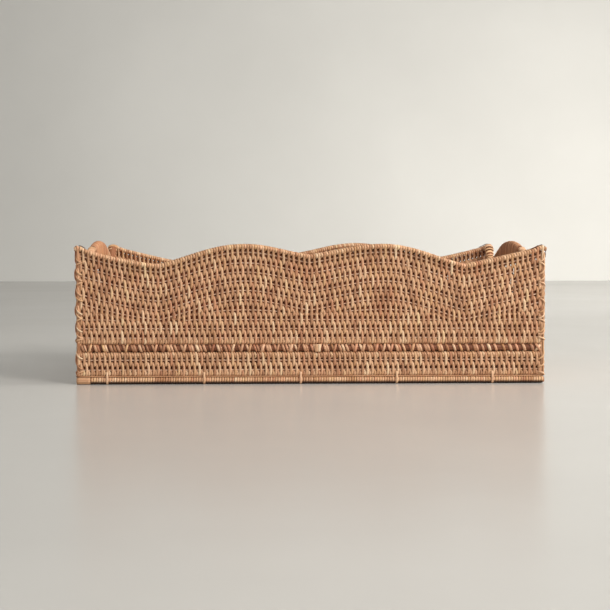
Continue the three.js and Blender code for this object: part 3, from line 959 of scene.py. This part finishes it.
def corner_lacing(face, end):
    """A corner post under upright strands of cane, tied by a slanting turn at each row of the walls."""
    bundle = Bundle()
    name = f"{face}_{end}"
    flip = np.array([1 if end == "right" else -1, 1 if face == "back" else -1, 1])
    cx, cy = LENGTH / 2 - WALL_CENTRE, WIDTH / 2 - WALL_CENTRE
    z = np.linspace(FOOT_DIAMETER + 0.6, CORNER_TOP, 60)
    post = xyz(cx + wave(z, 30, 0.12), cy + wave(z, 30, 0.12), z)[None]
    sideways = np.broadcast_to(np.array([1.0, 0.0, 0.0]), post.shape)
    bundle.add(post * flip, sideways, 4.4, 4.4, False, 1, None, round_section(10))
    for degrees in (-34, 4, 42):
        angle = math.radians(degrees) + wave(z, ROW / 2, 0.1)
        reach = 3.0 + wave(z, ROW / 2, 0.22)
        strand = xyz(cx + reach * np.cos(angle), cy + reach * np.sin(angle), z)[None]
        out = xyz(np.cos(angle), np.sin(angle), 0)[None]
        bundle.add(strand * flip, out * flip, 2.3, 1.0, False, 0, rng.uniform(0, 0.2, 1))
    angles = np.linspace(0, 2 * np.pi, 17)[:-1]
    sin, cos = bowed(np.sin(angles), 0.8), bowed(np.cos(angles), 0.8)
    levels = np.concatenate([SKIRT_ROWS, np.arange(WALL_FOOT + 1.5, 136, 0.7 * ROW)])
    for i, level in enumerate(levels + shaken(len(levels), 0.8)):
        reach = 3.5 + abs(rng.normal(0, 0.25))
        slope = (4.0 if i % 3 else -3.4) * (1 + shaken(1, 0.25)[0])
        drop = slope * (np.cos(angles) - np.sin(angles)) * 0.7
        ring = xyz(cx + reach * cos, cy + reach * sin, level + drop)[None]
        out = xyz(cos, sin, 0)[None]
        bundle.add(ring * flip, out * flip, 1.7, 0.8, True)
    strand_start, strand_end = (16.0, 14.0) if end == "right" else (11.5, 0)
    add_corner_strand(bundle, flip, FRONT_EDGE if face == "front" else BACK_EDGE, strand_start, strand_end)
    piece = bundle.build(f"corner_lacing_{name}", [WRAPPING, ROD, CORNER_DARK_STRAND])
    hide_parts(f"corner_post_{name}")


def add_corner_strand(bundle, flip, edge, start, drop):
    """A thin dark strand that runs over the rim's knot and, where it drops, on down the corner."""
    sign = flip[0] if edge is FRONT_EDGE else -flip[0]
    back = np.linspace(start, 5.0, 6)  # distances from the corner along the rim
    rise, _ = knot(LENGTH / 2 - back, LENGTH / 2)
    top = edge_height(edge, sign * (LENGTH / 2 - back)) + rise + 0.15
    x, z = LENGTH / 2 - back, top
    if drop:
        x = np.append(x, LENGTH / 2 - np.array([3.0, 1.6, 0.9, 0.9, 1.4]))
        z = np.append(z, top[-1] - drop * np.array([0.09, 0.25, 0.48, 0.75, 1]))
    depth = np.linspace(2.6, 3.4, len(x))
    path = xyz(x, WIDTH / 2 - depth, z)[None] * flip
    outward = unit(xyz(np.gradient(-z), 0, np.abs(np.gradient(x)) + 0.05))[None] * flip
    bundle.add(path, outward, 1.3, 0.9, False, 2)


# -------------------- the whole tray

def build_tray():
    for side in SIDES:
        is_long = side in ("front", "back")
        half, outer = (LENGTH / 2, WIDTH / 2) if is_long else (WIDTH / 2, LENGTH / 2)
        edge = {"front": FRONT_EDGE, "back": BACK_EDGE}.get(side, END_EDGE)
        wall_weave(side, edge, half, outer, has_handle=not is_long)
        skirt_weave(side, half, outer)
        if is_long:
            foot_wrap(side, half - 1, outer - FOOT_INSET)
            rim_wrap(side, side, edge, -half, half, outer, knot)
        else:
            foot_wrap(side, half - FOOT_INSET - FOOT_DIAMETER, outer - 1)
            ends = ("front", "back") if side == "right" else ("back", "front")
            spans = (RIM_WIDTH - half, -GRIP_HALF), (GRIP_HALF, half - RIM_WIDTH)
            for name, (start, end) in zip(ends, spans):
                rim_wrap(side, f"{side}_{name}", edge, start, end, outer, knob if name == "back" else None)
            grip_wrap(side, outer)
            binding_wrap(side, outer)
        foot_ties(side, outer, 5 if is_long else 3)
        edge_rod(side, half, outer)
        lashing(side, half, outer)
    splice()
    inner = LENGTH / 2 - EDGE_ROD_INSET - EDGE_ROD_DIAMETER / 2 - 0.6
    floor_weave("left", -inner, 0)
    floor_weave("right", 0, inner)
    for name in ("left", "middle", "right"):
        cross_bar(name)
    for face in ("front", "back"):
        for end in ("left", "right"):
            corner_lacing(face, end)


# -------------------- floor, backdrop, light and camera

def stage_material(name, low, high, scale, roughness):
    n = Nodes(name)
    place = n.add("ShaderNodeTexCoord").outputs["Object"]
    patches = n.noise(place, scale, 4.0)
    n.link(n.ramp(patches, [(0.3, low), (0.7, high)]), n.shader.inputs["Base Color"])
    n.shader.inputs["Roughness"].default_value = roughness
    n.bump(n.noise(place, scale * 9, 3.0), 0.05, 0.002)
    return n.material


def stage_sheet(name, corners, material):
    mesh = bpy.data.meshes.new(name)
    mesh.from_pydata(corners, [], [(0, 1, 2, 3)])
    mesh.materials.append(material)
    sheet = bpy.data.objects.new(name, mesh)
    bpy.context.scene.collection.objects.link(sheet)


def add_stage():
    far, near, side = 3.3, -4.0, 6.0
    table = stage_material("table", (182, 179, 173), (190, 187, 181), 1.7, 0.25)
    plaster = stage_material("plaster", (187, 185, 179), (195, 193, 187), 1.3, 0.9)
    stage_sheet("floor", [(-side, near, 0), (side, near, 0), (side, far, 0), (-side, far, 0)], table)
    low, high = -0.5, 5
    corners = [(-side, far, low), (side, far, low), (side, far, high), (-side, far, high)]
    stage_sheet("backdrop", corners, plaster)


def area_light(name, place, target, size, power, colour, spread=180):
    light = bpy.data.lights.new(name, "AREA")
    light.shape = "RECTANGLE"
    light.size, light.size_y = size
    light.energy = power
    light.spread = math.radians(spread)
    light.color = colour
    lamp = bpy.data.objects.new(name, light)
    lamp.location = place
    direction = np.subtract(target, place)
    lamp.rotation_euler = Vector(direction).to_track_quat("-Z", "Y").to_euler()
    bpy.context.scene.collection.objects.link(lamp)


def add_lights():
    area_light("window", (1.9, -2.1, 1.7), (0, 0, 0.05), (1.1, 1.1), 76, (1.0, 0.98, 0.95))
    area_light("side", (2.7, -0.3, 1.4), (0, 0, 0.05), (0.8, 0.8), 60, (1.0, 0.98, 0.95))
    area_light("ceiling", (0.2, -0.4, 2.6), (0.1, 0, 0), (2.4, 2.4), 7.5, (1.0, 0.99, 0.97), 110)
    area_light("wall_wash", (2.6, 0.6, 0.7), (0.35, 3.3, -0.2), (1.0, 1.0), 30, (1.0, 0.99, 0.97), 90)
    area_light("front_fill", (-1.2, -2.6, 1.5), (0, 0, 0.1), (2.5, 2.0), 18, (1.0, 0.99, 0.98))
    world = bpy.data.worlds.new("studio")
    world.use_nodes = True
    world.node_tree.nodes["Background"].inputs["Color"].default_value = (0.95, 0.97, 1.0, 1)
    world.node_tree.nodes["Background"].inputs["Strength"].default_value = 0.25
    bpy.context.scene.world = world


def add_camera():
    camera = bpy.data.cameras.new("camera")
    camera.lens, camera.sensor_width = 80.0, 36.0
    camera.clip_start, camera.clip_end = 0.05, 50
    holder = bpy.data.objects.new("camera", camera)
    holder.location = (-0.05863, -1.63297, 0.15779)
    holder.rotation_euler = (math.radians(90 - 2.845), 0, math.radians(-2.014))
    bpy.context.scene.collection.objects.link(holder)
    bpy.context.scene.camera = holder


build_tray()
add_stage()
add_lights()
add_camera()
bpy.context.scene.view_settings.view_transform = "Standard"
